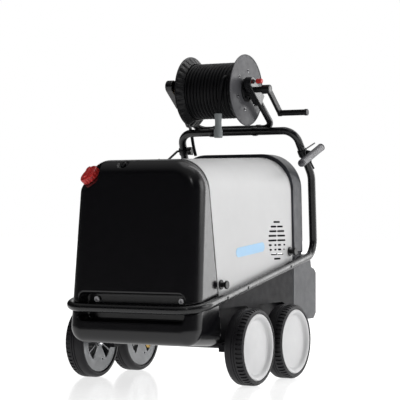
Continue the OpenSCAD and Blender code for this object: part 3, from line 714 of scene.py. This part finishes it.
def make_tyre(side, y, name, body):
    """Tyre with shoulder notches; made about +Z with its outer face up."""
    profile = [(126.2, -35.5, 0), (131, -40.5, 0), (138, -40.2, 0), (144.6, -37, 0), (148.6, -30.5, 0),
               (150, -23, 0), (150, -8.2, 0), (147.8, -7.4, 0), (147.6, -4, 0), (150, -3.2, 0), (150, 2.2, 0),
               (147.8, 3, 0), (147.6, 6.4, 0), (150, 7.2, 0), (150, 13, 0), (150, 13.3, 1), (150, 23, 1),
               (148.6, 30.5, 1), (144.8, 36.6, 1), (143.4, 37.8, 0), (138, 39.6, 0), (136.5, 40.1, 0),
               (135.8, 39.4, 0), (134, 39.4, 0), (133.3, 40.3, 0), (131.4, 40.5, 0), (131.4, 31.5, 0),
               (126.2, 31.5, 0)]
    rows = []
    for i in range(TYRE_NOTCHES):
        for t, dip in ((0, 0), (0.56, 0), (0.6, 1), (0.96, 1)):
            a = (i + t) * tau / TYRE_NOTCHES
            rows.append([((r - 5.2 * dip * cut) * cos(a), (r - 5.2 * dip * cut) * sin(a), h)
                         for r, h, cut in profile])
    points, faces = rings(rows, closed_long=True)
    faces = [f[::-1] for f in faces]
    at = (side * WHEEL_X, y, WHEEL_R)
    piece(name + "_moulded", [(aim((points, faces), at, (side, 0, 0)), "tyre")], body, [name],
          angle=28)


def make_wheels():
    for place, y in (("front", -224), ("rear", 112)):
        for hand, side in (("left", -1), ("right", 1)):
            body = "wheel_" + place + "_" + hand
            make_tyre(side, y, "tyre_" + place + "_" + hand, body)
            cap = lathe([(0, 30.5), (40, 29.6), (80, 27.2), (100, 25.6), (104.5, 25.4), (107.5, 26.6), (110, 30),
                         (112.6, 34.4), (116, 37.6), (120, 39.2), (125, 39.7), (128.5, 39), (130.6, 37),
                         (131.2, 34), (130.8, 32.2), (120, 32.2), (108, 23), (60, 25.5), (0, 27.5)], 96)
            parts = [(aim(cap, (side * WHEEL_X, y, WHEEL_R), (side, 0, 0)), "white")]
            piece("hub_cap_" + place + "_" + hand + "_moulded", parts, body,
                  ["hub_cap_" + place + "_" + hand], angle=50)


# ---------- hose reel ----------

def make_winding():
    """Two layers of hose, wound out along the drum and back."""
    turns, layers = 15, (94, 110)
    line = []
    for k, r in enumerate(layers):
        for i in range(turns * 40 + 1):
            t = i / 40
            a = radians(200) + tau * (t + k * turns)
            x = (-119 + 238 * t / turns) * (1 if k == 0 else -1)
            blend = min(1.0, t * 3) if k else 1.0
            rr = layers[0] + (r - layers[0]) * blend if k else r
            line.append((x, REEL[1] + rr * cos(a), REEL[2] + rr * sin(a)))
    cord("hose_wound", line, HOSE_D, "reel", ["hose_winding"])


def make_hoses():
    link = smooth_line([(-168, 200, 1139), (-168, 202, 1110), (-178, 225, 1080), (-204, 290, 1052),
                        (-232, 360, 1052), (-246, 396, 1036), (-244, 404, 1005), (-232, 396, 965),
                        (-216, 386, 925)], 8)
    cord("link_hose_run", link, LINK_D, "root", ["link_hose"])
    tail = smooth_line([(85, 102, 1240), (84, 80, 1228), (81, 74, 1208), (78, 73, 1188), (74, 73, 1160),
                        (70, 73, 1130), (66, 73, 1100), (64, 73, 1072)], 8)
    turned = lathe([(0, 0), (15.5, 0), (17.6, 1.6), (18, 4), (18, 31), (17, 33.5), (15.6, 36), (14.6, 44),
                    (13.6, 56), (13.5, 64), (14.4, 76), (16.1, 92), (16.5, 98), (15.6, 100), (9, 100),
                    (8.2, 98)], 48)
    coupling = piece("hose_coupling_sleeve", [(aim(turned, (64, 73, 984), (0, 0, 1)), "boot")], "root",
                     ["hose_coupling"])
    cord("hose_hanging", tail, HOSE_D, "root", ["hose_tail"])


def flange_parts(side):
    """Outer plate, lip, hub and dished inner ring of one flange, made about +Z towards the outside."""
    profile = [(143, 127.8), (147, 127.2), (149.6, 128.6), (150, 130.2), (149.2, 132.2), (147, 133),
               (144.6, 132.4), (143.4, 131.2), (52, 131.2), (50, 131.4)]
    if side < 0:
        profile = [(12.6, 127.8), *profile, (50, 137), (49, 138), (12.6, 138)]
    else:
        profile = [(50, 127.8), *profile]
    plate = lathe(profile, 96)
    parts = [(plate, "plate")]
    rows = []
    for r, h, rib in ((143, 128, 0), (146.5, 128.6, 0), (140, 121, 1), (124, 104.6, 1), (122.5, 102.2, 0),
                      (120.6, 102.4, 0), (120.6, 103.6, 0)):
        row = []
        for i in range(28):
            for t, up in ((0, 0), (0.55, 0), (0.6, 1), (0.95, 1)):
                a = (i + t) * tau / 28
                push = 2.2 * rib * up
                row.append(((r - push) * cos(a), (r - push) * sin(a), h))
        rows.append(row)
    points, faces = rings(rows)
    parts.append(((points, [f[::-1] for f in faces]), "black"))
    for k in range(6):
        a = radians(20 + 60 * k)
        bolt = prism(polygon(6, 4.2), 131, 134)
        washer = lathe([(0, 131.1), (5.2, 131.1), (5.4, 132), (0, 132)], 20)
        at = np.array([83 * cos(a), 83 * sin(a), 0])
        parts.append(((bolt[0] + at, bolt[1]), "black"))
        parts.append(((washer[0] + at, washer[1]), "zinc"))
    if side < 0:
        hub = lathe([(0, 138), (36, 138), (38, 137.6), (46, 137.6), (49.6, 136.6), (50.2, 132)], 64)
        parts.append((hub, "black"))
    return parts


def make_drilled_hub():
    """The right hub, with the six holes that the lock pin can enter."""
    rows = [[(r * cos(a), r * sin(a), h) for a in np.arange(64) * tau / 64]
            for r, h in ((0.01, 127.8), (50.2, 127.8), (50.2, 132), (49.6, 136.6), (46, 137.6), (38, 137.6),
                         (36, 138), (0.01, 138))]
    at = (0, REEL[1], REEL[2])
    shape = aim(rings(rows, closed_long=True), at, (1, 0, 0))
    hub = piece("reel_hub_right_drilled", [(shape, "black")], "reel", ["reel_flange_right"])
    hub.data.materials.append(MAT["black"])
    y, z = LOCK[0] - REEL[1], LOCK[1] - REEL[2]
    holes = []
    for k in range(6):
        a = k * tau / 6
        place = np.array((y * cos(a) - z * sin(a), y * sin(a) + z * cos(a), 0))
        points, faces = prism(polygon(28, 5.5), 120, 146)
        holes.append(aim((points + place, faces), at, (1, 0, 0)))
    cut_out(hub, holes)
    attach(hub, "reel")


def bracket_field(x_out, x_in):
    side = 1 if x_out > 0 else -1
    leg = unit((STAND_RUN[0] - REEL[1], STAND_RUN[1] - REEL[2]))
    foot = REEL[1:] - 40 * leg
    end = REEL[1:] + 72 * leg

    def field(p):
        x, yz = p[:, 0] * side, p[:, 1:] - foot
        t = yz @ leg
        s = yz @ np.array([-leg[1], leg[0]])
        length = float((end - foot) @ leg)
        capsule = np.hypot(np.minimum(t, 0), s)
        outer = both(capsule - 27, t - length, 0.5)
        lo, hi = sorted((abs(x_out), abs(x_in)))
        solid = both(outer, np.abs(x - (lo + hi) / 2) - (hi - lo) / 2, 2)
        inner_x = x - (abs(x_out) - 4) if abs(x_out) > abs(x_in) else (abs(x_out) + 4) - x
        return less(solid, both(capsule - 23, inner_x, 3), 1)

    return field


def make_reel():
    make_winding()
    for name, side in (("left", -1), ("right", 1)):
        parts = [(aim(shape, (0, REEL[1], REEL[2]), (side, 0, 0)), tone) for shape, tone in flange_parts(side)]
        if side < 0:
            parts = [(s, "black" if t == "plate" else t) for s, t in parts]
        piece("reel_flange_" + name + "_spun", parts, "reel", ["reel_flange_" + name], angle=40)
    make_drilled_hub()
    for name, x_out, x_in in (("left", -231, -200), ("right", 179, 147)):
        field = bracket_field(x_out, x_in)
        lo, hi = min(x_out, x_in) - 5, max(x_out, x_in) + 5
        shape = nets(field, (lo, REEL[1] - 75, REEL[2] - 115), (hi, REEL[1] + 150, REEL[2] + 75), 2.4)
        piece("reel_bracket_" + name + "_pressed", [(shape, "frame")], "root",
              ["reel_bracket_" + name], field=field)
    leg = unit((STAND_RUN[0] - REEL[1], STAND_RUN[1] - REEL[2]))
    top = REEL[1:] + 40 * leg
    corners = [(STAND_X[0], *top), (STAND_X[0], *STAND_RUN), (STAND_X[1], *STAND_RUN), (STAND_X[1], *top)]
    stand = [(sweep(bent(corners, [50, 50]), STAND_R, 28), "frame")]
    for x in (-120, 90):
        for (y, z), r in ((BAR, TUBE_R + 2.6), (STAND_RUN, STAND_R + 2.4)):
            band = lathe([(r - 3, -10), (r, -10), (r + 0.4, -9), (r + 0.4, 9), (r, 10), (r - 3, 10)], 40)
            stand.append((aim(band, (x, y, z), (1, 0, 0)), "frame"))
    piece("reel_stand_bend", stand, "root", ["reel_stand"])
    make_crank()


def make_crank():
    hub = np.array([CRANK_X, REEL[1], REEL[2]])
    end = np.array([CRANK_X, GRIP[1], GRIP[2]])
    way = unit(end - hub)
    length = float(np.linalg.norm(end - hub))
    side = np.cross(way, (1, 0, 0))
    outline = [(-12, 0)] + [(12 * cos(a), length + 12 * sin(a)) for a in np.linspace(pi, 0, 13)] + [(12, 0)]
    points, faces = prism(outline[::-1], 0, 14)
    arm = hub + points[:, [0]] * side + points[:, [1]] * way + points[:, [2]] * np.array((1.0, 0, 0))
    boss = lathe([(12.5, -20), (17.5, -20), (19, -18.5), (19, 14.5), (17.5, 16), (12.5, 16)], 48)
    pin = lathe([(0, -16), (11.5, -16), (12.4, -15), (12.4, 15.6), (11.6, 16.6), (0, 16.6)], 36)
    nut = lathe([(0, 0), (14, 0), (14, 13.4), (13, 14.2), (0, 14.2)], 36)
    rod = lathe([(0, 13), (5, 13), (5, 128), (0, 128)], 24)
    parts = [((arm, faces), "black"), (aim(boss, hub, (1, 0, 0)), "black"), (aim(pin, hub, (1, 0, 0)), "frame"),
             (aim(nut, end, (1, 0, 0)), "black"), (aim(rod, end, (1, 0, 0)), "zinc")]
    piece("crank_arm_forged", parts, "reel", ["crank_arm"], bevel=1.2)
    x0 = CRANK_X + 14.6
    grip = lathe([(5.2, 0), (11.5, 0), (12.5, 1.5), (12.5, 105), (13, 107), (14, 108), (14, 119), (12.8, 120),
                  (5, 120), (0, 119.6)], 48)
    piece("crank_grip_moulded", [(aim(grip, (x0, GRIP[1], GRIP[2]), (1, 0, 0)), "black")], "crank_grip",
          ["crank_grip"])
    knob = lathe([(0, 186), (9, 186), (10.5, 187.4), (10.5, 209.4), (9.2, 211), (0, 211)], 40)
    pin = lathe([(0, 139), (4.4, 139), (5, 139.8), (5, 187), (0, 187)], 28)
    at = (0, *LOCK)
    parts = [(aim(knob, at, (1, 0, 0)), "red"), (aim(pin, at, (1, 0, 0)), "zinc")]
    piece("reel_lock_knob", parts, "reel_lock_pin", ["reel_lock_pin"])


# ---------- holders on the bow ----------

def leg_at(side, z):
    t = (z - KNEE[1]) / (BAR[1] - KNEE[1])
    return np.array([side * (RAIL_X + t * (BAR_CORNER_X - RAIL_X)), KNEE[0] + t * (BAR[0] - KNEE[0]), z])


def leg_way(side):
    return unit((side * (BAR_CORNER_X - RAIL_X), BAR[0] - KNEE[0], BAR[1] - KNEE[1]))


def clamp_ring(side, z):
    r = TUBE_R + 4.4
    band = lathe([(r - 3, -14), (r - 0.6, -14), (r, -13), (r, 13), (r - 0.6, 14), (r - 3, 14)], 40)
    return aim(band, leg_at(side, z), leg_way(side))


def make_holders():
    low, high = np.array((330, 320, 882.0)), np.array((330, 515, 955.0))
    n = float(np.linalg.norm(high - low))
    tube = lathe([(0, -16.6), (9, -14), (14, -9), (16.3, -2), (16.5, 4), (16.5, n), (13.6, n), (13.5, 12),
                  (0, 12)], 48)
    band = lathe([(16.2, n - 7), (17, n - 6.4), (17, n - 0.5), (16, n + 0.4), (13.4, n + 0.4)], 48)
    parts = [(aim(tube, low, high - low), "smoke"), (aim(band, low, high - low), "black"),
             (clamp_ring(1, 929), "black")]
    block = lathe([(0, 0), (11, 0), (12, 1), (12, 16), (0, 16)], 32)
    parts.append((aim(block, (309, 414, 929), (11, 10, -3)), "black"))
    parts.append((sweep(bent([(328, 362, 908), (325, 360, 940), (325, 459, 971)], [8]), 3, 14), "black"))
    parts.append((sweep(bent([(330, 405, 912), (330, 410, 886), (336, 427, 861)], [8]), 4, 16), "black"))
    piece("lance_holder_moulded", parts, "root", ["lance_holder"])
    rod = sweep(bent([(-305, 404, 947), (-318, 402, 945), (-318, 262, 876), (-318, 240, 905)], [3, 7]), 5, 16)
    foot = lathe([(0, 0), (10, 0), (10, 8), (0, 8)], 24)
    parts = [(rod, "black"), (clamp_ring(-1, 946), "black"), (aim(foot, (-270, 406, 946), (1, 0, 0)), "black")]
    piece("lance_rest_bent", parts, "root", ["lance_rest"])
    outline = []
    for k in range(72):
        a = k * tau / 72
        r = 16.5 + 3.5 * cos(6 * a)
        outline.append((r * cos(a), r * sin(a)))
    star = prism(outline, 0, 15.6)
    piece("star_knob_moulded", [(aim(star, (-260, 406, 946), (1, 0, 0)), "black")], "star_knob",
          ["star_knob"], bevel=1.5)


# ---------- what keeps its CAD mesh ----------

CAD_TONES = {
    "chassis_shell": "grey", "front_axle": "black", "rear_axle": "black", "axle_clips": "zinc",
    "drain_plug": "brass", "rail_screws": "frame", "control_panel": "console", "pressure_gauge": "zinc",
    "gauge_needle": "red", "float_tank": "poly", "electric_motor": "motor", "pressure_pump": "brass",
    # The boiler gets the near-black chassis tone as painted shade, darker than its own metal, so the hood's grille
    # slots look dark.
    "boiler": "grey", "burner_blower": "grey", "water_inlet": "brass", "cable_gland": "black",
    "hose_swivel": "brass", "reel_drum": "black", "main_switch": "red", "thermostat_knob": "black",
    "rim_front_left": "rim", "rim_front_right": "rim", "rim_rear_left": "rim", "rim_rear_right": "rim",
}


# ---------- light ----------

def make_light():
    """Bright walls behind and to the right with a narrow brighter strip, a dim front, and a plain white
    ground for the camera."""
    world = bpy.data.worlds.new("studio")
    bpy.context.scene.world = world
    world.use_nodes = True
    nodes, links = world.node_tree.nodes, world.node_tree.links
    nodes.clear()
    place = nodes.new("ShaderNodeTexCoord")
    toward = nodes.new("ShaderNodeVectorMath")
    toward.operation = "DOT_PRODUCT"
    toward.inputs[1].default_value = (0.383, 0.924, 0)
    links.new(place.outputs["Generated"], toward.inputs[0])
    wall = nodes.new("ShaderNodeMapRange")
    wall.interpolation_type = "SMOOTHSTEP"
    for key, value in (("From Min", 0.35), ("From Max", 0.75), ("To Min", 0.025), ("To Max", 1.3)):
        wall.inputs[key].default_value = value
    links.new(toward.outputs["Value"], wall.inputs[0])
    split = nodes.new("ShaderNodeSeparateXYZ")
    links.new(place.outputs["Generated"], split.inputs[0])
    sky = nodes.new("ShaderNodeMapRange")
    sky.interpolation_type = "SMOOTHSTEP"
    for key, value in (("From Min", 0.45), ("From Max", 0.95), ("To Min", 0.0), ("To Max", 0.35)):
        sky.inputs[key].default_value = value
    links.new(split.outputs["Z"], sky.inputs[0])
    total = nodes.new("ShaderNodeMath")
    links.new(wall.outputs[0], total.inputs[0])
    links.new(sky.outputs[0], total.inputs[1])
    angle, off, size = [nodes.new("ShaderNodeMath") for _ in range(3)]
    angle.operation, off.operation, size.operation = "ARCTAN2", "SUBTRACT", "ABSOLUTE"
    links.new(split.outputs["Y"], angle.inputs[0])
    links.new(split.outputs["X"], angle.inputs[1])
    links.new(angle.outputs[0], off.inputs[0])
    off.inputs[1].default_value = radians(60)
    links.new(off.outputs[0], size.inputs[0])
    strip = nodes.new("ShaderNodeMapRange")
    strip.interpolation_type = "SMOOTHSTEP"
    for key, value in (("From Min", 0.03), ("From Max", 0.12), ("To Min", 7.0), ("To Max", 0.0)):
        strip.inputs[key].default_value = value
    links.new(size.outputs[0], strip.inputs[0])
    both_walls = nodes.new("ShaderNodeMath")
    links.new(total.outputs[0], both_walls.inputs[0])
    links.new(strip.outputs[0], both_walls.inputs[1])
    lit = nodes.new("ShaderNodeBackground")
    links.new(both_walls.outputs[0], lit.inputs["Strength"])
    ground = nodes.new("ShaderNodeBackground")
    ground.inputs["Color"].default_value = (1, 1, 1, 1)
    ground.inputs["Strength"].default_value = 1.0
    path = nodes.new("ShaderNodeLightPath")
    mix = nodes.new("ShaderNodeMixShader")
    links.new(path.outputs["Is Camera Ray"], mix.inputs[0])
    links.new(lit.outputs[0], mix.inputs[1])
    links.new(ground.outputs[0], mix.inputs[2])
    out = nodes.new("ShaderNodeOutputWorld")
    links.new(mix.outputs[0], out.inputs[0])
    lamp("key", (4.2, 0.6, 2.2), (0.1, 0, 0.6), 2.2, 38)
    lamp("top", (0.4, 0.2, 4.2), (0, 0, 0.5), 2.6, 20)
    lamp("spot", (2.1, -4.6, 3.9), (0, -0.4, 0.8), 0.3, 10)


def lamp(name, at, target, size, power):
    data = bpy.data.lights.new(name, "AREA")
    data.size = size
    data.energy = power
    obj = bpy.data.objects.new(name, data)
    obj.location = at
    way = Vector(target) - Vector(at)
    obj.rotation_euler = way.to_track_quat("-Z", "Y").to_euler()
    bpy.context.scene.collection.objects.link(obj)


def make_floor():
    mat = finish("floor_white", (0.5, 0.5, 0.5), 0.14, vary=0.01, grain=60, bump=0.0, spread=0.03,
                 Emission_Color=(1, 1, 1, 1), Emission_Strength=0.74)
    mesh = bpy.data.meshes.new("floor")
    s = 30
    mesh.from_pydata([(-s, -s, 0), (s, -s, 0), (s, s, 0), (-s, s, 0)], [], [(0, 1, 2, 3)])
    mesh.materials.append(mat)
    obj = bpy.data.objects.new("floor", mesh)
    bpy.context.scene.collection.objects.link(obj)


# ---------- build ----------

make_camera()
MAT = make_materials()
make_hoses()
make_reel()
make_tank()
make_caps()
make_hood()
make_console()
make_tubes()
make_wheels()
make_holders()
for node_name, tone in CAD_TONES.items():
    paint(node_name, tone)
make_floor()
make_light()
bpy.context.scene.view_settings.view_transform = "Standard"
